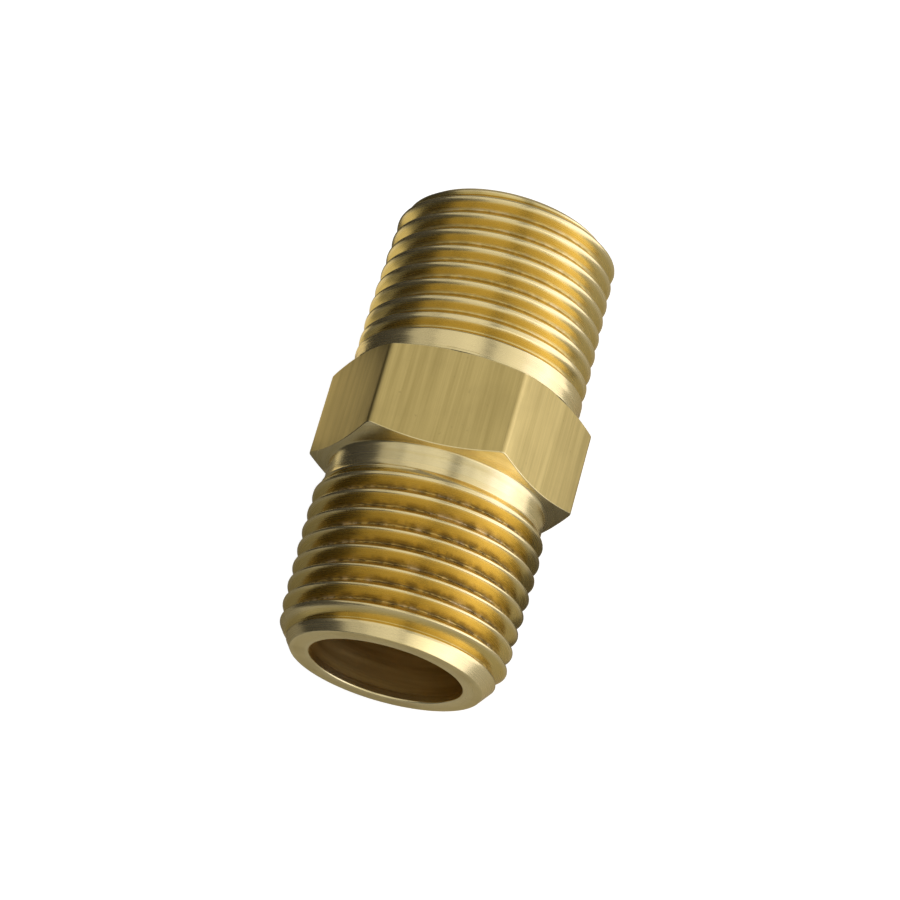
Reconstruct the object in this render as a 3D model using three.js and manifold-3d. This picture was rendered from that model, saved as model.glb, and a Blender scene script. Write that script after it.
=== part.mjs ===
// 3/8-18 NPT brass hex nipple, machined in one piece from hexagonal bar. Units are millimetres, +Z is up.
// The nipple lies on one wrench flat: its bore runs along Y, and the origin is the middle of that flat.
// It is built as it is machined: hexagonal bar, turned ends, drilled bore, then two right-hand taper threads.
import * as THREE from "three";
import { mergeVertices } from "three/addons/utils/BufferGeometryUtils.js";
import Module from "manifold-3d";

const INCH = 25.4;
const LENGTH = 35.6;
const ACROSS_FLATS = 17.2;
const HEX_WIDTH = 7.5;
const HEX_OFFSET = 0.2; // the collar sits this far past mid-length, towards the plain end
const BORE_RADIUS = 5.65;
const BORE_EDGE_BREAK = 0.1;
const PITCH = INCH / 18;

const HALF_LENGTH = LENGTH / 2;
const HALF_HEX = HEX_WIDTH / 2;

// Hexagonal bar: its drawn corners are slightly round, and both faces of the collar are chamfered.
const BAR_CORNER_RADIUS = 0.6;
const CHAMFER_ANGLE = THREE.MathUtils.degToRad(23.5); // from the collar's face
const NEAR_CHAMFER_RADIUS = 8.25; // inner edge, on the relieved end's side
const FAR_CHAMFER_RADIUS = 8.65;
const CORNER_RADIUS_FULL = ACROSS_FLATS / Math.sqrt(3);

// NPT thread form: 60 degree V, taper of 1 in 16 on diameter, crest and root cut to equal small flats.
const TAPER = 1 / 32; // radius gained per length
const PITCH_RADIUS_AT_END = (0.61201 * INCH) / 2;
const THREAD_DEPTH = 1.05;
const FLANK = Math.tan(THREE.MathUtils.degToRad(30));
const CREST_AT_END = PITCH_RADIUS_AT_END + THREAD_DEPTH / 2;
const CREST_LIMIT = 8.57; // the ends are turned no larger, so the crests stay just below the flats
const ROOT_FLAT = PITCH / 2 - THREAD_DEPTH * FLANK;
const CUTTER_CLEARANCE = 0.06; // how far the cutter stands above the crests

const SIDES = 30; // facets round the axis, shared by every turned surface and the thread
const CORNER_STEPS = 3;
const OVERRUN = 1; // how far a cutting shape reaches past the metal
const MERGE_DISTANCE = 1e-4;

// The two ends differ: one was turned with a relief groove beside the collar, the other straight up to it.
// Each neck is listed from the thread towards the collar, as [radius, distance from the end face].
const RELIEVED_END = {
  noseRadius: 7.05,
  noseAngle: THREE.MathUtils.degToRad(36), // from the axis
  neck: [
    [CREST_LIMIT, 10.5],
    [8.4, 11.3],
    [8.34, 11.95],
    [8.12, 12.3],
  ],
  leadAngle: THREE.MathUtils.degToRad(162),
  runoutStart: 11.7,
  runoutSlope: 1.2, // how fast the cutter lifts out beside the collar
};
const PLAIN_END = {
  noseRadius: 7.2,
  noseAngle: THREE.MathUtils.degToRad(50),
  neck: [
    [CREST_LIMIT, 12.75],
    [8.48, 12.95],
  ],
  leadAngle: THREE.MathUtils.degToRad(306),
  runoutStart: 12.15,
  runoutSlope: 0.85,
};

const wasm = await Module();
wasm.setup();

// A closed three.js geometry as a manifold-3d solid.
function solidFrom(geometry) {
  const bare = geometry.clone();
  bare.deleteAttribute("normal");
  bare.deleteAttribute("uv");
  const merged = mergeVertices(bare, MERGE_DISTANCE);
  return new wasm.Manifold(
    new wasm.Mesh({
      numProp: 3,
      vertProperties: new Float32Array(merged.attributes.position.array),
      triVerts: new Uint32Array(merged.index.array),
    }),
  );
}

// A solid of revolution about Y, from [radius, y] pairs that run upwards and start and end on the axis.
function turned(profile) {
  const points = profile.map(([radius, y]) => new THREE.Vector2(radius, y));
  return solidFrom(new THREE.LatheGeometry(points, SIDES));
}

const coneRadius = (depthIn) => CREST_AT_END + TAPER * depthIn;

// One end's turned blank, with its end face at +Y: from inside the collar out to the nose chamfer.
function turnedEnd(end) {
  const slope = Math.tan(end.noseAngle);
  const noseLength = (CREST_AT_END - end.noseRadius) / (slope - TAPER);
  const neckRadius = end.neck.at(-1)[0];
  const outline = [
    [neckRadius, HALF_LENGTH],
    ...end.neck.toReversed(),
    [CREST_LIMIT, (CREST_LIMIT - CREST_AT_END) / TAPER],
    [coneRadius(noseLength), noseLength],
    [end.noseRadius, 0],
  ].map(([radius, depthIn]) => [radius, HALF_LENGTH - depthIn]);
  return turned([[0, outline[0][1]], ...outline, [0, HALF_LENGTH]]);
}

// The thread cutter for an end: a V section carried inwards round a right-hand helix.
// It starts outside the end face and lifts out of the metal beside the collar.
function threadCutter(end) {
  const height = THREAD_DEPTH + CUTTER_CLEARANCE;
  const topHalf = ROOT_FLAT / 2 + height * FLANK;
  const lastDepth = end.runoutStart + THREAD_DEPTH / end.runoutSlope;
  const firstStep = -SIDES;
  const lastStep = Math.ceil((lastDepth / PITCH) * SIDES);
  const positions = [];
  for (let step = firstStep; step <= lastStep; step++) {
    const angle = end.leadAngle + (step * 2 * Math.PI) / SIDES;
    const depthIn = (step * PITCH) / SIDES;
    const lift = Math.max(0, depthIn - end.runoutStart) * end.runoutSlope;
    const root = coneRadius(depthIn) - THREAD_DEPTH + lift;
    const section = [
      [root, -ROOT_FLAT / 2],
      [root, ROOT_FLAT / 2],
      [root + height, topHalf],
      [root + height, -topHalf],
    ];
    for (const [radius, across] of section)
      positions.push(
        radius * Math.cos(angle),
        HALF_LENGTH - depthIn + across,
        radius * Math.sin(angle),
      );
  }
  const corners = 4;
  const index = [];
  for (let k = 0; k < lastStep - firstStep; k++)
    for (let c = 0; c < corners; c++) {
      const a = k * corners + c;
      const b = k * corners + ((c + 1) % corners);
      index.push(a, a + corners, b, b, a + corners, b + corners);
    }
  const last = (lastStep - firstStep) * corners;
  index.push(0, 1, 2, 0, 2, 3);
  index.push(last, last + 2, last + 1, last, last + 3, last + 2);
  const geometry = new THREE.BufferGeometry();
  geometry.setAttribute("position", new THREE.Float32BufferAttribute(positions, 3));
  geometry.setIndex(index);
  return solidFrom(geometry);
}

// A threaded end in its own frame, with its end face at +Y.
function threadedEnd(end) {
  return turnedEnd(end).subtract(threadCutter(end));
}

// The collar left from the bar: a hexagon with its flats up and down, chamfered to a cone on both faces.
function hexCollar() {
  const outline = new THREE.Shape();
  const arcCentre = CORNER_RADIUS_FULL - BAR_CORNER_RADIUS / Math.cos(Math.PI / 6);
  for (let corner = 0; corner < 6; corner++) {
    const angle = (corner * Math.PI) / 3;
    const half = Math.PI / 6;
    const x = arcCentre * Math.cos(angle);
    const y = arcCentre * Math.sin(angle);
    outline.absarc(x, y, BAR_CORNER_RADIUS, angle - half, angle + half, false);
  }
  outline.closePath();
  const prism = new THREE.ExtrudeGeometry(outline, {
    depth: HEX_WIDTH + 2 * OVERRUN,
    bevelEnabled: false,
    curveSegments: CORNER_STEPS,
  });
  prism.translate(0, 0, -HALF_HEX - OVERRUN);
  prism.rotateX(Math.PI / 2);
  const outer = CORNER_RADIUS_FULL + OVERRUN;
  const nearDrop = (outer - NEAR_CHAMFER_RADIUS) * Math.tan(CHAMFER_ANGLE);
  const farDrop = (outer - FAR_CHAMFER_RADIUS) * Math.tan(CHAMFER_ANGLE);
  const chamfers = turned([
    [0, -HALF_HEX],
    [NEAR_CHAMFER_RADIUS, -HALF_HEX],
    [outer, nearDrop - HALF_HEX],
    [outer, HALF_HEX - farDrop],
    [FAR_CHAMFER_RADIUS, HALF_HEX],
    [0, HALF_HEX],
  ]);
  return solidFrom(prism).intersect(chamfers).translate([0, HEX_OFFSET, 0]);
}

// The drilled bore, with its edge broken at both end faces.
function boreCutter() {
  const mouth = BORE_RADIUS + BORE_EDGE_BREAK + OVERRUN;
  const beyond = HALF_LENGTH + OVERRUN;
  const inside = HALF_LENGTH - BORE_EDGE_BREAK;
  return turned([
    [0, -beyond],
    [mouth, -beyond],
    [BORE_RADIUS, -inside],
    [BORE_RADIUS, inside],
    [mouth, beyond],
    [0, beyond],
  ]);
}

function bodyGeometry() {
  const nearEnd = threadedEnd(RELIEVED_END).rotate([0, 0, 180]);
  const farEnd = threadedEnd(PLAIN_END);
  const solid = hexCollar().add(nearEnd).add(farEnd).subtract(boreCutter());
  const mesh = solid.getMesh();
  const geometry = new THREE.BufferGeometry();
  geometry.setAttribute("position", new THREE.BufferAttribute(mesh.vertProperties, 3));
  geometry.setIndex(new THREE.BufferAttribute(mesh.triVerts, 1));
  return geometry.toNonIndexed();
}

const brass = new THREE.MeshStandardMaterial({
  color: 0xbfa25c,
  roughness: 0.3,
  metalness: 1,
  flatShading: true,
});

const nippleBody = new THREE.Mesh(bodyGeometry(), brass);
nippleBody.name = "nipple_body";
nippleBody.position.z = ACROSS_FLATS / 2;

const hexNipple = new THREE.Group();
hexNipple.add(nippleBody);

export default hexNipple;
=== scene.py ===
import bpy
import bmesh
import math
from mathutils import Vector, Matrix, noise


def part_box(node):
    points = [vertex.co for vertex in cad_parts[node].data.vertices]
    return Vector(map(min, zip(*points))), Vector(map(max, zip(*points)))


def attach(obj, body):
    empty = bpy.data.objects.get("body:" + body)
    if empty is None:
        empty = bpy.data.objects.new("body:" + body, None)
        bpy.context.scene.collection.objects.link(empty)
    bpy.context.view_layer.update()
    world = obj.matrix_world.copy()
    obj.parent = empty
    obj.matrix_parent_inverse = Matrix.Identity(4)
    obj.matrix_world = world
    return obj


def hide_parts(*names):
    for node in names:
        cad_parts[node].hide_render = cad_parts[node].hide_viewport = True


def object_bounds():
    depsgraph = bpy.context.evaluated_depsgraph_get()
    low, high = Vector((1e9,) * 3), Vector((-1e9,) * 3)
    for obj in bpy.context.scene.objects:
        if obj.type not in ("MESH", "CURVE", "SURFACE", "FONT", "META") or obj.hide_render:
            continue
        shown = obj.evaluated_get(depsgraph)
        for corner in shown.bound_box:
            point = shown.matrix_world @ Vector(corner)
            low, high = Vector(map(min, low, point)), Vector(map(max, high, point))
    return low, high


# Brass hex nipple: one body machined from hexagonal bar. Its shape is worked out in millimetres.
mm = 0.001
tiny = 1e-6  # mm
weldDistance = 1e-7  # metres
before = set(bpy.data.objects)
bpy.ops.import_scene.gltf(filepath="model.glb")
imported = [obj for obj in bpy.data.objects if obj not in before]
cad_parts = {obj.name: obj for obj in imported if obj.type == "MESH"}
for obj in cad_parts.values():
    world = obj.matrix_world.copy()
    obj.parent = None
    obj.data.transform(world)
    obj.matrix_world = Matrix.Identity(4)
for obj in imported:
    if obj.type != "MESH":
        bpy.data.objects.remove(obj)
cadLow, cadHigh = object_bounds()
nodeLow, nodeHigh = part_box("nipple_body")
halfLength = (nodeHigh.y - nodeLow.y) / 2 / mm
acrossFlats = (nodeHigh.z - nodeLow.z) / mm
middle = (nodeLow + nodeHigh) / 2


# The view is from high above the near end, a little to its right.
cameraPlan = {
    "azimuth": 18.2,
    "elevation": 66.6,
    "roll": 3.68,
    "distance": 0.22766,
    "lens": 124.7,
    "sensor": 36,
    "clip": (0.01, 20),
    "offset": (0.000052, -0.000093),  # view centre from the nipple's middle, to the right and up
}


def makeCamera(plan):
    azimuth, elevation = math.radians(plan["azimuth"]), math.radians(plan["elevation"])
    back = Vector((
        math.sin(azimuth) * math.cos(elevation),
        -math.cos(azimuth) * math.cos(elevation),
        math.sin(elevation),
    ))
    upright = (-back).to_track_quat("-Z", "Y").to_matrix()
    turn = upright @ Matrix.Rotation(-math.radians(plan["roll"]), 3, "Z")
    camera = bpy.data.objects.new("camera", bpy.data.cameras.new("camera"))
    camera.data.lens = plan["lens"]
    camera.data.sensor_width = plan["sensor"]
    camera.data.clip_start, camera.data.clip_end = plan["clip"]
    place = middle + back * plan["distance"] + turn @ Vector((*plan["offset"], 0))
    camera.matrix_world = Matrix.Translation(place) @ turn.to_4x4()
    bpy.context.scene.collection.objects.link(camera)
    bpy.context.scene.camera = camera


makeCamera(cameraPlan)
print("camera placed")


# Radii and lengths are in mm, and depthIn counts from an end face inwards.
bar = {
    "cornerRound": 0.6,
    "width": 7.5,
    "offset": 0.2,  # towards the plain end
    "nearChamferInner": 8.25,
    "farChamferInner": 8.65,
    "chamferAngle": math.radians(23.5),
    "edgeRound": 0.07,
    "edgeSteps": 3,
    "nearNeckRound": 0.3,
    "nearNeckSteps": 5,
    "farNeckRound": 0.075,
    "farNeckSteps": 3,
    "cornerSteps": 8,
    "flatSteps": 42,
    "flatRows": 14,
    "crowding": 0.11,  # how much closer together the flat's columns stand near the corners
    "edgeFall": 0.02,  # the flats fall away this much towards each corner
    "edgeFallWidth": 0.9,
    "waves": 0.004,
    "waveScale": 0.6,
    "waveShift": (3, 8, 1),
    "waveFade": 0.3,  # the waves fade out this far below the flat
}
thread = {
    "pitch": 25.4 / 18,
    "taper": 1 / 32,
    "depth": 1.05,
    "crestAtEnd": 8.2975,
    "crestLimit": 8.57,
    "edgeBlend": 0.03,  # where a flank meets the nose or the neck
    "rows": (0, 0.05, 0.12, 0.28, 0.46, 0.64, 0.8, 0.88, 0.94),  # shares of the way from groove to crest
    "turnsEachWay": 9,
    "waveDepth": 0.7,  # depth of the fully rounded form
    "phaseAngle": -7.7,  # angle round the bore where each end's groovePhase is counted
    "waviness": 0.006,
    "wavinessScale": 0.7,
}
# Metal torn by the cutter, low on the flank that faces the collar.
tearing = {
    "cutSpan": (0.55, 0.9),  # it sets in over these shares of the thread's depth
    "sideSpan": (0.02, 0.2),  # and fades out this far past the groove's middle
    "patchScale": 0.35,
    "patchShift": (11, 2, 6),
    "patchSpan": (-0.25, 0.3),
    "chipScale": (1.4, 5, 1.4),
    "fineScale": (2.3, 7, 2.3),
    "fineShift": (7, 3, 5),
    "fineShare": 0.5,
}
bore = {"radius": 5.65, "mouthRound": 0.13, "mouthDepth": 0.6, "rows": 12}
rim = {"noseLead": 0.1, "roundSteps": 4, "hold": 0.02}
relievedEnd = {
    "side": -1,
    "noseRadius": 7.05,
    "noseAngle": math.radians(36),
    "noseRound": 0.12,
    "neck": ((11.7, 8.57), (12.0, 8.5), (12.25, 8.3), (12.45, 8.14), (12.6, 8.12), (12.9, 8.12)),
    "groovePhase": 9.99,
    "runoutStart": 11.9,
    "runoutSlope": 1.2,
    "crestBlend": 0.08,
    "rootBlend": 0.12,
    "roundness": 0,  # 0 is a plain V, 1 a wave
    "tearing": 0.013,
}
plainEnd = {
    "side": 1,
    "noseRadius": 7.2,
    "noseAngle": math.radians(50),
    "noseRound": 0.15,
    "neck": ((12.75, 8.57), (12.95, 8.48), (13.6, 8.48)),
    "groovePhase": 3.0106,
    "runoutStart": 12.0,
    "runoutSlope": 0.62,
    "crestBlend": 0.1,
    "rootBlend": 0.2,
    "roundness": 0.8,
    "tearing": 0.006,
}
flank = math.tan(math.pi / 6)  # half of the 60 degree V


def softMin(a, b, reach):
    blend = max(0.0, reach - abs(a - b)) / reach
    return min(a, b) - blend * blend * reach / 4


def ramp(value, low, high):
    share = min(1.0, max(0.0, (value - low) / (high - low)))
    return share * share * (3 - 2 * share)


def between(value, points):
    for (x0, y0), (x1, y1) in zip(points, points[1:]):
        if value <= x1:
            return y0 + (y1 - y0) * (value - x0) / (x1 - x0)
    return points[-1][1]


def cone(depthIn):
    return thread["crestAtEnd"] + thread["taper"] * depthIn


def blankOutline(end):
    # The end before it is threaded, as (depthIn, radius) pairs.
    noseLength = (thread["crestAtEnd"] - end["noseRadius"]) / (math.tan(end["noseAngle"]) - thread["taper"])
    limitAt = (thread["crestLimit"] - thread["crestAtEnd"]) / thread["taper"]
    nose = ((0, end["noseRadius"]), (noseLength, cone(noseLength)))
    return (*nose, (limitAt, thread["crestLimit"]), *end["neck"])


def grooveDepth(offset, end):
    crestEdge = thread["pitch"] / 4 + thread["depth"] * flank / 2
    cut = softMin((crestEdge - abs(offset)) / flank, thread["depth"], end["rootBlend"])
    vee = -softMin(-cut, 0.0, end["crestBlend"])
    wave = thread["waveDepth"] * (1 + math.cos(2 * math.pi * offset / thread["pitch"])) / 2
    return vee + (wave - vee) * end["roundness"]


def filleted(points, hold=0.05):
    # Rounds the inner (radius, y, round, steps) corners of an outline, with a row close beside each rounding.
    rows = [Vector(points[0][:2])]
    for before, here, after in zip(points, points[1:], points[2:]):
        corner = Vector(here[:2])
        back = (Vector(before[:2]) - corner).normalized()
        ahead = (Vector(after[:2]) - corner).normalized()
        half = back.angle(ahead) / 2
        reach = here[2] / math.tan(half)
        centre = corner + (back + ahead).normalized() * here[2] / math.sin(half)
        start, stop = corner + back * reach - centre, corner + ahead * reach - centre
        turn = start.angle_signed(stop)
        rows.append(corner + back * (reach + hold))
        for step in range(here[3] + 1):
            rows.append(centre + Matrix.Rotation(-turn * step / here[3], 2) @ start)
        rows.append(corner + ahead * (reach + hold))
    rows.append(Vector(points[-1][:2]))
    return [(p.x, p.y) for p in rows]


def barRadius(angle):
    # The rounded hexagon, with corners towards +X and -X.
    fromCorner = math.radians(abs((angle + 30) % 60 - 30))
    arcCentre = cornerArcCentre()
    if fromCorner > cornerTangent():
        share = math.tan(math.pi / 6 - cornerTangent()) - math.tan(math.pi / 6 - fromCorner)
        along = acrossFlats / 2 * share
        fall = bar["edgeFall"] * max(0, 1 - along / bar["edgeFallWidth"]) ** 2
        return (acrossFlats / 2 - fall) / math.cos(math.pi / 6 - fromCorner)
    side = arcCentre * math.sin(fromCorner)
    bulge = math.sqrt(bar["cornerRound"] ** 2 - side * side)
    return arcCentre * math.cos(fromCorner) + bulge - bar["edgeFall"]


def cornerArcCentre():
    return acrossFlats / math.sqrt(3) - bar["cornerRound"] / math.cos(math.pi / 6)


def cornerTangent():
    # The angle from a corner to where its rounding meets the flat.
    arcCentre = cornerArcCentre()
    return math.atan2(bar["cornerRound"] / 2, arcCentre + bar["cornerRound"] * math.cos(math.pi / 6))


def columnAngles():
    tangent = math.degrees(cornerTangent())
    angles = []
    for corner in range(0, 360, 60):
        angles += [corner - tangent + 2 * tangent * k / bar["cornerSteps"] for k in range(bar["cornerSteps"])]
        for k in range(bar["flatSteps"]):
            share = k / bar["flatSteps"]
            share -= math.sin(2 * math.pi * share) * bar["crowding"]
            angles.append(corner + tangent + (60 - 2 * tangent) * share)
    return angles + [angles[0] + 360]


def rimRows(end):
    # From inside the bore's mouth, over the end face, to the start of the nose's cone.
    lead, steps = rim["noseLead"], rim["roundSteps"]
    points = [
        (bore["radius"], bore["mouthDepth"], 0, 0),
        (bore["radius"], 0, bore["mouthRound"], steps),
        (end["noseRadius"], 0, end["noseRound"], steps),
        (end["noseRadius"] + lead * math.tan(end["noseAngle"]), lead, 0, 0),
    ]
    return filleted(points, rim["hold"])[:-1]


def threadRows(end, angle, start, outline):
    # (radius, depthIn, cut, torn) from nose to neck. cut is 1 at full depth, and torn 1 where metal is torn.
    pitch = thread["pitch"]
    groove = end["groovePhase"] + end["side"] * pitch * (angle - thread["phaseAngle"]) / 360
    neckEnd = end["neck"][-1][0]
    shares = [-share for share in reversed(thread["rows"][1:])] + [*thread["rows"], 1]
    rows = []
    for turn in range(-thread["turnsEachWay"], thread["turnsEachWay"]):
        for share in shares:
            offset = share * pitch / 2
            depthIn = min(neckEnd, max(start, groove + turn * pitch + offset))
            blank = between(depthIn, outline)
            lift = max(0, depthIn - end["runoutStart"]) * end["runoutSlope"]
            carved = cone(depthIn) - grooveDepth(offset, end) + lift
            radius = blank
            if start < depthIn < neckEnd:
                radius = softMin(carved, blank, thread["edgeBlend"])
            cut = min(1.0, max(0.0, (blank - radius) / thread["depth"]))
            torn = ramp(cut, *tearing["cutSpan"]) * (1 - ramp(offset, *tearing["sideSpan"]))
            rows.append((radius, depthIn, cut, torn))
    return rows


def around(radius, y, angle):
    turn = math.radians(angle)
    return Vector((radius * math.cos(turn), y, radius * math.sin(turn)))


def stretch(place, scales):
    return Vector([value * scale for value, scale in zip(place, scales)])


def roughened(radius, y, angle, torn, amount):
    # Torn metal, and a trace of waviness everywhere.
    place = around(radius, y, angle)
    wave = noise.noise(place * thread["wavinessScale"]) * thread["waviness"]
    if torn <= 0 or amount <= 0:
        return radius + wave
    cloud = noise.noise(place * tearing["patchScale"] + Vector(tearing["patchShift"]))
    patch = ramp(cloud, *tearing["patchSpan"])
    chip = noise.noise(stretch(place, tearing["chipScale"]))
    fine = noise.noise(stretch(place, tearing["fineScale"]) + Vector(tearing["fineShift"]))
    chip += tearing["fineShare"] * fine
    return radius + wave + chip * amount * torn * patch


def waved(radius, y, angle, wide):
    # The drawn flats are a little uneven.
    height = noise.noise(around(radius, y, angle) * bar["waveScale"] + Vector(bar["waveShift"]))
    return radius + height * bar["waves"] * ramp(radius, wide - bar["waveFade"], wide)


def endRows(end, angle):
    # (radius, y, cut, torn, finish) from inside the bore's mouth, over the rim and the thread, to the neck.
    rimPart = rimRows(end)
    rows = [(radius, depthIn, 0, 0, "faced") for radius, depthIn in rimPart]
    rows += [(*row, "threaded") for row in threadRows(end, angle, rimPart[-1][1], blankOutline(end))]
    placed = []
    for radius, depthIn, cut, torn, finish in rows:
        y = end["side"] * (halfLength - depthIn)
        if cut > 0:
            radius = roughened(radius, y, angle, torn, end["tearing"])
        placed.append((radius, y, cut, torn, finish))
    return placed


def collarRows(angle, nearNeck, farNeck):
    # From the near neck over both chamfered faces and the drawn flat between them to the far neck.
    slope = math.tan(bar["chamferAngle"])
    wide = barRadius(angle)
    nearFace, farFace = bar["offset"] - bar["width"] / 2, bar["offset"] + bar["width"] / 2

    def onNearFace(radius):
        return nearFace + (radius - bar["nearChamferInner"]) * slope

    def onFarFace(radius):
        return farFace - max(0, radius - bar["farChamferInner"]) * slope

    outline = filleted([
        (*nearNeck, 0, 0),
        (nearNeck[0], onNearFace(nearNeck[0]), bar["nearNeckRound"], bar["nearNeckSteps"]),
        (wide, onNearFace(wide), bar["edgeRound"], bar["edgeSteps"]),
        (wide, onFarFace(wide), bar["edgeRound"], bar["edgeSteps"]),
        (farNeck[0], onFarFace(farNeck[0]), bar["farNeckRound"], bar["farNeckSteps"]),
        (*farNeck, 0, 0),
    ])
    onFlat = [k for k, (radius, y) in enumerate(outline) if abs(radius - wide) < tiny]
    first, last = onFlat[0], onFlat[-1]
    rows = []
    for k, (radius, y) in enumerate(outline):
        finish = "drawn" if first <= k < last else "faced"
        rows.append((waved(radius, y, angle, wide), y, 0, 0, finish))
        if k == first + 1:
            step = (outline[k + 1][1] - y) / bar["flatRows"]
            for n in range(1, bar["flatRows"]):
                rowY = y + step * n
                rows.append((waved(radius, rowY, angle, wide), rowY, 0, 0, finish))
    return rows


def columnRows(angle):
    # One closed outline: near end, collar, far end, and back through the bore.
    near = endRows(relievedEnd, angle)
    far = endRows(plainEnd, angle)[::-1]
    collar = collarRows(angle, near[-1][:2], far[0][:2])
    span = far[-1][1] - near[0][1]
    steps = [far[-1][1] - span * n / bore["rows"] for n in range(1, bore["rows"])]
    far[-1] = (*far[-1][:4], "bored")
    return near + collar + far + [(bore["radius"], y, 0, 0, "bored") for y in steps]


def makeNipple():
    bm = bmesh.new()
    cutLayer = bm.verts.layers.float.new("cut")
    tornLayer = bm.verts.layers.float.new("torn")
    columns = []
    for angle in columnAngles():
        rows = columnRows(angle)
        column = []
        for radius, y, cut, torn, finish in rows:
            vert = bm.verts.new(around(radius, y, angle) * mm + middle)
            vert[cutLayer], vert[tornLayer] = cut, torn
            column.append(vert)
        columns.append(column)
    finishes = ("drawn", "faced", "threaded", "bored")
    marks = [finishes.index(row[-1]) for row in rows]  # the same rows in every column
    for here, there in zip(columns, columns[1:]):
        for k in range(len(here)):
            n = (k + 1) % len(here)
            face = bm.faces.new((here[k], here[n], there[n], there[k]))
            face.material_index = marks[k]
            face.smooth = True
    bmesh.ops.remove_doubles(bm, verts=bm.verts, dist=weldDistance)
    bmesh.ops.dissolve_degenerate(bm, edges=bm.edges, dist=weldDistance / 10)
    bmesh.ops.recalc_face_normals(bm, faces=bm.faces)
    openEdges = sum(len(edge.link_faces) != 2 for edge in bm.edges)
    mesh = bpy.data.meshes.new("hex_nipple")
    bm.to_mesh(mesh)
    bm.free()
    nipple = bpy.data.objects.new("hex_nipple", mesh)
    bpy.context.scene.collection.objects.link(nipple)
    print("nipple built:", len(mesh.polygons), "faces,", openEdges, "open edges")
    return nipple


nipple = makeNipple()


# The finishes: groups give heights and masks, and each material has its own brass shader.
def addNode(tree, kind, **values):
    node = tree.nodes.new(kind)
    for name, value in values.items():
        setattr(node, name, value)
    return node


def feed(tree, socket, source):
    if hasattr(source, "is_output"):
        tree.links.new(source, socket)
    else:
        socket.default_value = source


def worked(tree, operation, a, b=0.0):
    node = addNode(tree, "ShaderNodeMath", operation=operation)
    feed(tree, node.inputs[0], a)
    feed(tree, node.inputs[1], b)
    return node.outputs[0]


def times(tree, a, b):
    return worked(tree, "MULTIPLY", a, b)


def plus(tree, a, b):
    return worked(tree, "ADD", a, b)


def spread(tree, value, low, high, toLow=0.0, toHigh=1.0, smooth=False):
    node = addNode(tree, "ShaderNodeMapRange")
    if smooth:
        node.interpolation_type = "SMOOTHSTEP"
    for socket, source in zip(node.inputs, (value, low, high, toLow, toHigh)):
        feed(tree, socket, source)
    return node.outputs[0]


def noiseAt(tree, vector, scale, detail=2.0, rough=0.5):
    node = addNode(tree, "ShaderNodeTexNoise")
    feed(tree, node.inputs["Vector"], vector)
    node.inputs["Detail"].default_value = detail
    node.inputs["Roughness"].default_value = rough
    feed(tree, node.inputs["Scale"], scale)
    return node.outputs["Fac"]


def mixColour(tree, share, a, b):
    node = addNode(tree, "ShaderNodeMix", data_type="RGBA")
    feed(tree, node.inputs["Factor"], share)
    feed(tree, node.inputs["A"], a)
    feed(tree, node.inputs["B"], b)
    return node.outputs["Result"]


def newGroup(name, inputs, outputs):
    tree = bpy.data.node_groups.new(name, "ShaderNodeTree")
    for label, kind, value in inputs:
        socket = tree.interface.new_socket(name=label, in_out="INPUT", socket_type=kind)
        socket.default_value = value
    for label, kind in outputs:
        tree.interface.new_socket(name=label, in_out="OUTPUT", socket_type=kind)
    return tree, addNode(tree, "NodeGroupInput"), addNode(tree, "NodeGroupOutput")


def placeInMm(tree):
    # Position from the bore's axis, in millimetres.
    place = addNode(tree, "ShaderNodeTexCoord").outputs["Object"]
    moved = addNode(tree, "ShaderNodeVectorMath", operation="SUBTRACT")
    feed(tree, moved.inputs[0], place)
    moved.inputs[1].default_value = middle
    scaled = addNode(tree, "ShaderNodeVectorMath", operation="SCALE")
    feed(tree, scaled.inputs[0], moved.outputs[0])
    scaled.inputs["Scale"].default_value = 1 / mm
    return scaled.outputs[0]


def partsOf(tree, vector):
    node = addNode(tree, "ShaderNodeSeparateXYZ")
    feed(tree, node.inputs[0], vector)
    return node.outputs


def stretched(tree, parts, scales):
    node = addNode(tree, "ShaderNodeCombineXYZ")
    for socket, part, scale in zip(node.inputs, parts, scales):
        feed(tree, socket, times(tree, part, scale))
    return node.outputs[0]


# How fast each broad pattern changes, per mm, and the noise values that a mask runs between.
broadRings = {"axisShare": 1.37, "along": 1.1, "across": 0.1}
broadStreaks = {"along": 0.06, "across": 1.3}
stains = {"span": (0.42, 0.68), "speckScale": 2.4, "speckSpan": (0.7, 0.78)}


def makeToolRings():
    # Fine rings left by a turning tool. They count along the radius and the axis together, so that faces,
    # cones and cylinders all get them.
    tree, given, result = newGroup(
        "tool rings",
        [("Lines per mm", "NodeSocketFloat", 8.0), ("Wander", "NodeSocketFloat", 0.12)],
        [("Height", "NodeSocketFloat"), ("Tone", "NodeSocketFloat")],
    )
    x, y, z = partsOf(tree, placeInMm(tree))
    radius = worked(tree, "SQRT", plus(tree, times(tree, x, x), times(tree, z, z)))
    along = plus(tree, radius, times(tree, y, broadRings["axisShare"]))
    wander = given.outputs["Wander"]
    rings = stretched(tree, (along, x, z), (given.outputs["Lines per mm"], wander, wander))
    feed(tree, result.inputs["Height"], noiseAt(tree, rings, 1.0, detail=3.0, rough=0.6))
    bands = stretched(tree, (along, x, z), (broadRings["along"], broadRings["across"], broadRings["across"]))
    feed(tree, result.inputs["Tone"], noiseAt(tree, bands, 1.0))
    return tree


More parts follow.
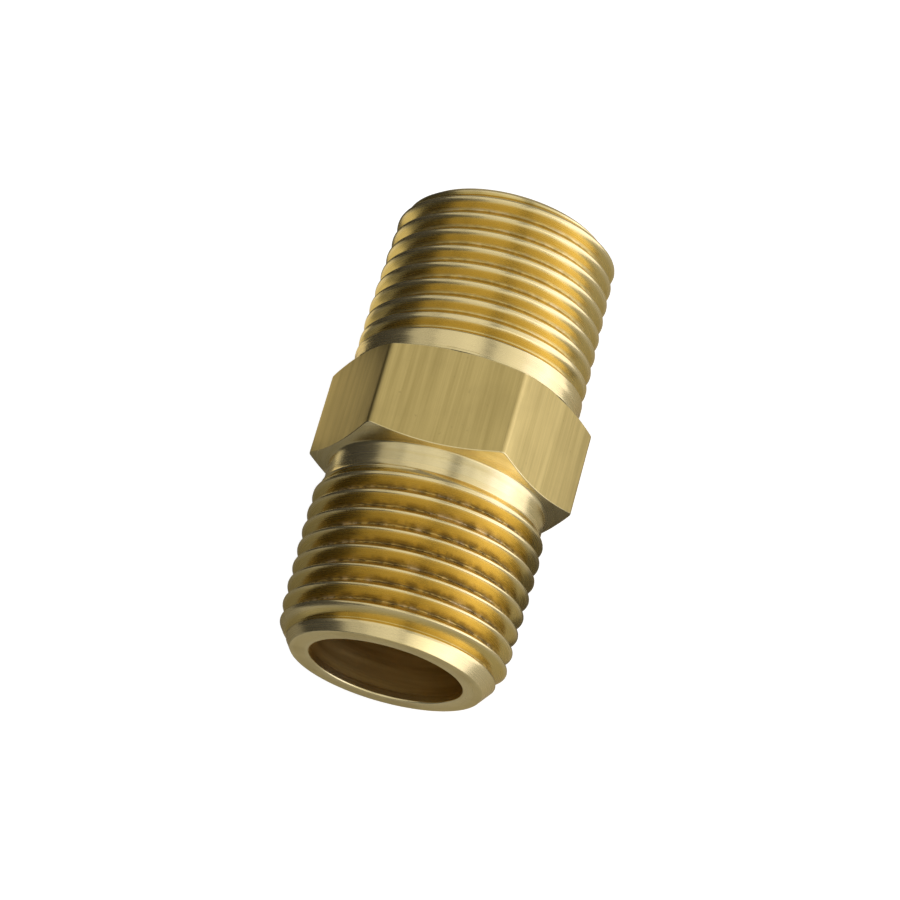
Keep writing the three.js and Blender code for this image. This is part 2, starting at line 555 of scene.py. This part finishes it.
def makeDrawLines():
    # Streaks along the bar, left by the drawing die.
    tree, given, result = newGroup(
        "draw lines",
        [("Lines per mm", "NodeSocketFloat", 5.0), ("Length", "NodeSocketFloat", 0.1)],
        [("Height", "NodeSocketFloat"), ("Tone", "NodeSocketFloat")],
    )
    parts = partsOf(tree, placeInMm(tree))
    lines = given.outputs["Lines per mm"]
    fine = stretched(tree, parts, (lines, given.outputs["Length"], lines))
    feed(tree, result.inputs["Height"], noiseAt(tree, fine, 1.0, detail=4.0, rough=0.65))
    wide = stretched(tree, parts, (broadStreaks["across"], broadStreaks["along"], broadStreaks["across"]))
    feed(tree, result.inputs["Tone"], noiseAt(tree, wide, 1.0, detail=3.0, rough=0.6))
    return tree


def makeHandling():
    # Soft stains and small marks from cutting fluid and handling.
    tree, given, result = newGroup(
        "handling marks",
        [("Size", "NodeSocketFloat", 0.35), ("Amount", "NodeSocketFloat", 0.5)],
        [("Mask", "NodeSocketFloat"), ("Specks", "NodeSocketFloat")],
    )
    vector = placeInMm(tree)
    cloud = noiseAt(tree, vector, given.outputs["Size"], detail=4.0, rough=0.55)
    mask = spread(tree, cloud, *stains["span"], smooth=True)
    feed(tree, result.inputs["Mask"], times(tree, mask, given.outputs["Amount"]))
    dots = noiseAt(tree, vector, stains["speckScale"])
    feed(tree, result.inputs["Specks"], spread(tree, dots, *stains["speckSpan"], smooth=True))
    return tree


toolRings = makeToolRings()
drawLines = makeDrawLines()
handling = makeHandling()


def useGroup(tree, group, **values):
    node = addNode(tree, "ShaderNodeGroup", node_tree=group)
    for name, value in values.items():
        feed(tree, node.inputs[name.replace("_", " ")], value)
    return node.outputs


def attribute(tree, name):
    return addNode(tree, "ShaderNodeAttribute", attribute_name=name).outputs["Fac"]


def brassShader(name, plan):
    material = bpy.data.materials.new(name)
    material.use_nodes = True
    tree = material.node_tree
    shader = tree.nodes["Principled BSDF"]
    shader.inputs["Metallic"].default_value = 1.0
    shader.inputs["Specular Tint"].default_value = plan["edge"]  # at grazing angles
    return material, tree, shader


def bumpFrom(tree, height, distance):
    node = addNode(tree, "ShaderNodeBump")
    node.inputs["Strength"].default_value = 1.0
    node.inputs["Distance"].default_value = distance * mm
    feed(tree, node.inputs["Height"], height)
    return node.outputs["Normal"]


# A finish's colours, its roughness from and to, its bump in mm and its marks.
drawnFinish = {
    "bright": (0.65, 0.5, 0.19, 1),
    "dull": (0.49, 0.37, 0.13, 1),
    "stain": (0.4, 0.3, 0.11, 1),
    "edge": (0.95, 0.88, 0.68, 1),
    "rough": (0.34, 0.44),
    "bump": 0.005,
    "linesPerMm": 7.0,
    "lineLength": 0.1,
    "broadShare": 0.6,  # of the broad streaks in the colour, the rest being fine lines
    "colourSpan": (0.38, 0.62),
    "stainSize": 0.3,
    "stainAmount": 0.2,
    "speckAmount": 0.5,
}
facedFinish = {
    "bright": (0.88, 0.74, 0.4, 1),
    "dull": (0.78, 0.63, 0.29, 1),
    "stain": (0.46, 0.35, 0.15, 1),
    "edge": (0.93, 0.85, 0.65, 1),
    "rough": (0.2, 0.28),
    "bump": 0.0015,
    "ringsPerMm": 9.0,
    "wander": 0.06,
    "stainSize": 0.4,
    "stainAmount": 0.25,
}
threadedFinish = {
    "bright": (0.86, 0.7, 0.35, 1),
    # painted shade: a darker, deeper gold towards the groove roots, where light bounces between the flanks
    "grooveShade": (0.74, 0.56, 0.19, 1),
    "torn": (0.22, 0.15, 0.06, 1),
    # painted highlight: pale sparkle glints on the torn metal
    "sparkle": (0.95, 0.78, 0.48, 1),
    "edge": (0.9, 0.8, 0.58, 1),
    "rough": (0.2, 0.3),
    "tornRough": 0.35,
    "bump": 0.0015,
    "tornBump": 10.0,
    "ringsPerMm": 12.0,
    "wander": 0.3,
    "tearsPerMm": 5.0,
    "tearWander": 1.4,
    "grooveShadeSpan": (0.02, 0.3),  # shares of the thread's depth over which the painted shade darkens the colour towards the groove's root
    "tearSpan": (0.36, 0.58),
    # the painted sparkle highlight: size of its flecks, the noise values it spans and how much of it shows
    "chipScale": 0.9,
    "sparkleSpan": (0.52, 0.66),
    "sparkleAmount": 0.6,
}
boredFinish = {
    "bright": (0.78, 0.58, 0.23, 1),
    "dull": (0.6, 0.42, 0.14, 1),
    "edge": (0.85, 0.7, 0.4, 1),
    "rough": (0.3, 0.42),
    "bump": 0.008,
    "ringsPerMm": 5.0,
    "wander": 0.1,
}
ringSpan = (0.35, 0.65)  # noise values between which the rings go from dull to bright
heightSpan = (0.3, 0.7)  # and those between which the roughness goes from low to high


def finishRoughness(tree, height, plan):
    return spread(tree, height, *heightSpan, *plan["rough"])


def makeDrawnBrass(plan):
    material, tree, shader = brassShader("drawn brass flats", plan)
    lines = useGroup(tree, drawLines, Lines_per_mm=plan["linesPerMm"], Length=plan["lineLength"])
    marks = useGroup(tree, handling, Size=plan["stainSize"], Amount=plan["stainAmount"])
    broad = times(tree, lines["Tone"], plan["broadShare"])
    streaks = plus(tree, broad, times(tree, lines["Height"], 1 - plan["broadShare"]))
    colour = mixColour(tree, spread(tree, streaks, *plan["colourSpan"]), plan["dull"], plan["bright"])
    colour = mixColour(tree, marks["Mask"], colour, plan["stain"])
    colour = mixColour(tree, times(tree, marks["Specks"], plan["speckAmount"]), colour, plan["stain"])
    feed(tree, shader.inputs["Base Color"], colour)
    feed(tree, shader.inputs["Roughness"], finishRoughness(tree, lines["Height"], plan))
    feed(tree, shader.inputs["Normal"], bumpFrom(tree, lines["Height"], plan["bump"]))
    return material


def makeTurnedBrass(name, plan):
    # For all that was faced or turned, and without stains for the bore.
    material, tree, shader = brassShader(name, plan)
    rings = useGroup(tree, toolRings, Lines_per_mm=plan["ringsPerMm"], Wander=plan["wander"])
    colour = mixColour(tree, spread(tree, rings["Tone"], *ringSpan), plan["dull"], plan["bright"])
    if "stain" in plan:
        marks = useGroup(tree, handling, Size=plan["stainSize"], Amount=plan["stainAmount"])
        colour = mixColour(tree, marks["Mask"], colour, plan["stain"])
    feed(tree, shader.inputs["Base Color"], colour)
    feed(tree, shader.inputs["Roughness"], finishRoughness(tree, rings["Height"], plan))
    feed(tree, shader.inputs["Normal"], bumpFrom(tree, rings["Height"], plan["bump"]))
    return material


def makeThreadedBrass(plan):
    material, tree, shader = brassShader("threaded brass", plan)
    rings = useGroup(tree, toolRings, Lines_per_mm=plan["ringsPerMm"], Wander=plan["wander"])
    tears = useGroup(tree, toolRings, Lines_per_mm=plan["tearsPerMm"], Wander=plan["tearWander"])
    cut, torn = attribute(tree, "cut"), attribute(tree, "torn")
    # Painted shade: the colour turns a darker, deeper gold towards each groove's root.
    grooveShade = spread(tree, cut, *plan["grooveShadeSpan"], smooth=True)
    colour = mixColour(tree, grooveShade, plan["bright"], plan["grooveShade"])
    tear = times(tree, spread(tree, tears["Height"], *plan["tearSpan"], smooth=True), torn)
    colour = mixColour(tree, tear, colour, plan["torn"])
    # Painted highlight: pale flecks in the torn patches stand in for sparkle glints.
    cloud = noiseAt(tree, placeInMm(tree), plan["chipScale"], detail=3.0, rough=0.6)
    sparkles = times(tree, spread(tree, cloud, *plan["sparkleSpan"], smooth=True), torn)
    colour = mixColour(tree, times(tree, sparkles, plan["sparkleAmount"]), colour, plan["sparkle"])
    feed(tree, shader.inputs["Base Color"], colour)
    smoothness = finishRoughness(tree, rings["Height"], plan)
    feed(tree, shader.inputs["Roughness"], plus(tree, smoothness, times(tree, torn, plan["tornRough"])))
    ragged = times(tree, times(tree, tears["Height"], torn), plan["tornBump"])
    feed(tree, shader.inputs["Normal"], bumpFrom(tree, plus(tree, rings["Height"], ragged), plan["bump"]))
    return material


for material in (
    makeDrawnBrass(drawnFinish),
    makeTurnedBrass("turned brass", facedFinish),
    makeThreadedBrass(threadedFinish),
    makeTurnedBrass("bored brass", boredFinish),
):
    nipple.data.materials.append(material)
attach(nipple, "root")
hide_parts("nipple_body")
print("finishes made")


# A pale floor under softboxes. Distances and lengths are in metres from here on.
studio = {
    "floorSize": 3.0,
    "floorColour": (0.55, 0.55, 0.545, 1),
    "floorRough": 0.9,
    "floorGlow": 0.8,  # for the camera only
    "world": (0.22, 0.22, 0.22, 1),
    "boxDistance": 0.5,
    "boxLength": 1.5,
}
plain, cool = (1, 1, 1), (0.96, 0.98, 1.22)
# Long softboxes side by side about the bore. Their angles count from straight up towards +X.
softboxes = {
    "left": {"fromAngle": -62, "toAngle": -40, "brightness": 0.33, "colour": plain},
    "topLeft": {"fromAngle": -36.4, "toAngle": -10, "brightness": 0.52, "colour": plain},
    "top": {"fromAngle": -10, "toAngle": 13, "brightness": 0.64, "colour": plain},
    "upperRight": {"fromAngle": 23, "toAngle": 40, "brightness": 0.58, "colour": plain},
    "highRight": {"fromAngle": 40, "toAngle": 58, "brightness": 0.76, "colour": plain},
    "right": {"fromAngle": 58, "toAngle": 76, "brightness": 1.2, "colour": cool},
    "lowRight": {"fromAngle": 76, "toAngle": 98, "brightness": 1.65, "colour": cool},
}
frontBox = {
    "rise": 18,
    "turn": 12,
    "distance": 0.55,
    "width": 0.55,
    "height": 0.3,
    "brightness": 0.55,
    "colour": plain,
}
# Small mats and upright cards beside the nipple, seen only in its reflections, so they light and shade
# nothing: the dark mats are painted shadow on the floor, the dark card a painted dark reflection, and the
# glowing pale cards painted reflections. z counts from cardLift.
cards = {
    # Painted shadow: a dark mat under the near end, standing for the nipple's own contact shadow in its
    # reflections.
    "near painted shadow": {
        "x": (0.0, 0.018), "y": (-0.014, -0.001), "z": (0, 0),
        "colour": (0.15, 0.15, 0.15, 1), "glow": 0,
    },
    # Painted shade: dark and grey mats darken the floor left of the nipple in its reflections.
    "far painted shade": {
        "x": (-0.03, -0.011), "y": (0.0125, 0.05), "z": (0, 0),
        "colour": (0.15, 0.15, 0.15, 1), "glow": 0,
    },
    "left painted shade": {
        "x": (-0.03, -0.011), "y": (-0.03, 0.003), "z": (0, 0),
        "colour": (0.33, 0.33, 0.33, 1), "glow": 0,
    },
    # Painted dark reflection: a black card that only the reflections see.
    "painted dark reflection": {
        "x": (-0.03, -0.03), "y": (-0.12, 0.12), "z": (0, 0.028),
        "colour": (0.07, 0.07, 0.07, 1), "glow": 0,
    },
    # Painted reflections: these pale cards glow, though they are no lamps, and only the reflections see them.
    "pale painted reflection": {
        "x": (0.036, 0.036), "y": (-0.06, 0.06), "z": (0, 0.014),
        "colour": (0.8, 0.82, 0.95, 1), "glow": 1.4,
    },
    "low painted reflection": {
        "x": (-0.025, -0.013), "y": (0.0025, 0.0125), "z": (0.0003, 0.0003),
        "colour": (0.8, 0.76, 0.66, 1), "glow": 0.5,
    },
}
cardLift = 0.0002  # clear of the floor
cardRough = 0.8
sheetGloss = 0.1


def makePanel(name, out, along, distance, size, plan):
    light = bpy.data.lights.new(name, "AREA")
    light.shape = "RECTANGLE"
    light.size, light.size_y = size
    light.energy = plan["brightness"] * math.pi * light.size * light.size_y
    light.color = plan["colour"]
    panel = bpy.data.objects.new(name, light)
    turn = Matrix((along.cross(out), along, out)).transposed()
    panel.matrix_world = Matrix.Translation(middle + out * distance) @ turn.to_4x4()
    panel.visible_camera = False
    bpy.context.scene.collection.objects.link(panel)


def makeSoftbox(name, plan):
    half = math.radians(plan["toAngle"] - plan["fromAngle"]) / 2
    centre = math.radians(plan["toAngle"] + plan["fromAngle"]) / 2
    out = Vector((math.sin(centre), 0, math.cos(centre)))
    size = (2 * studio["boxDistance"] * math.tan(half), studio["boxLength"])
    makePanel(name, out, Vector((0, 1, 0)), studio["boxDistance"], size, plan)


def makeFrontBox(plan):
    rise, turn = math.radians(plan["rise"]), math.radians(plan["turn"])
    ahead = Vector((math.sin(turn), -math.cos(turn), 0))
    out = ahead * math.cos(rise) + Vector((0, 0, math.sin(rise)))
    up = Vector((0, 0, math.cos(rise))) - ahead * math.sin(rise)
    makePanel("front", out, up, plan["distance"], (plan["width"], plan["height"]), plan)


def makeSheet(name, corners, colour, rough):
    mesh = bpy.data.meshes.new(name)
    mesh.from_pydata(corners, [], [(0, 1, 2, 3)])
    sheet = bpy.data.objects.new(name, mesh)
    bpy.context.scene.collection.objects.link(sheet)
    material = bpy.data.materials.new(name)
    material.use_nodes = True
    shader = material.node_tree.nodes["Principled BSDF"]
    shader.inputs["Base Color"].default_value = colour
    shader.inputs["Roughness"].default_value = rough
    shader.inputs["Specular IOR Level"].default_value = sheetGloss
    mesh.materials.append(material)
    return sheet, shader


def makeFloor(plan):
    half, z = plan["floorSize"] / 2, cadLow.z
    corners = [(-half, -half, z), (half, -half, z), (half, half, z), (-half, half, z)]
    shader = makeSheet("floor", corners, plan["floorColour"], plan["floorRough"])[1]
    tree = shader.id_data
    seen = addNode(tree, "ShaderNodeLightPath").outputs["Is Camera Ray"]
    shader.inputs["Emission Strength"].default_value = plan["floorGlow"]
    feed(tree, shader.inputs["Emission Color"], mixColour(tree, seen, (0, 0, 0, 1), (1, 1, 1, 1)))


def makeCard(name, plan):
    (x0, x1), (y0, y1), (z0, z1) = plan["x"], plan["y"], plan["z"]
    base = cadLow.z + cardLift
    corners = [(x0, y0, base + z0), (x0, y1, base + z0), (x1, y1, base + z1), (x1, y0, base + z1)]
    card, shader = makeSheet(name, corners, plan["colour"], cardRough)
    shader.inputs["Emission Color"].default_value = plan["colour"]
    shader.inputs["Emission Strength"].default_value = plan["glow"]
    # Painted shade and painted reflections: the cards are seen in reflections only, and cast no light or
    # shadow.
    card.visible_camera = card.visible_diffuse = card.visible_shadow = False


def makeWorld(plan):
    world = bpy.data.worlds.new("studio")
    world.use_nodes = True
    tree = world.node_tree
    glow = tree.nodes["Background"]
    glow.inputs["Color"].default_value = plan["world"]
    bright = addNode(tree, "ShaderNodeBackground")
    bright.inputs["Color"].default_value = (1, 1, 1, 1)
    seen = addNode(tree, "ShaderNodeLightPath").outputs["Is Camera Ray"]
    choice = addNode(tree, "ShaderNodeMixShader")
    for socket, source in zip(choice.inputs, (seen, glow.outputs[0], bright.outputs[0])):
        feed(tree, socket, source)
    feed(tree, tree.nodes["World Output"].inputs["Surface"], choice.outputs[0])
    bpy.context.scene.world = world


makeFloor(studio)
for name, plan in cards.items():
    makeCard(name, plan)
makeWorld(studio)
for name, plan in softboxes.items():
    makeSoftbox(name, plan)
makeFrontBox(frontBox)
bpy.context.scene.view_settings.view_transform = "Standard"
print("studio lit")
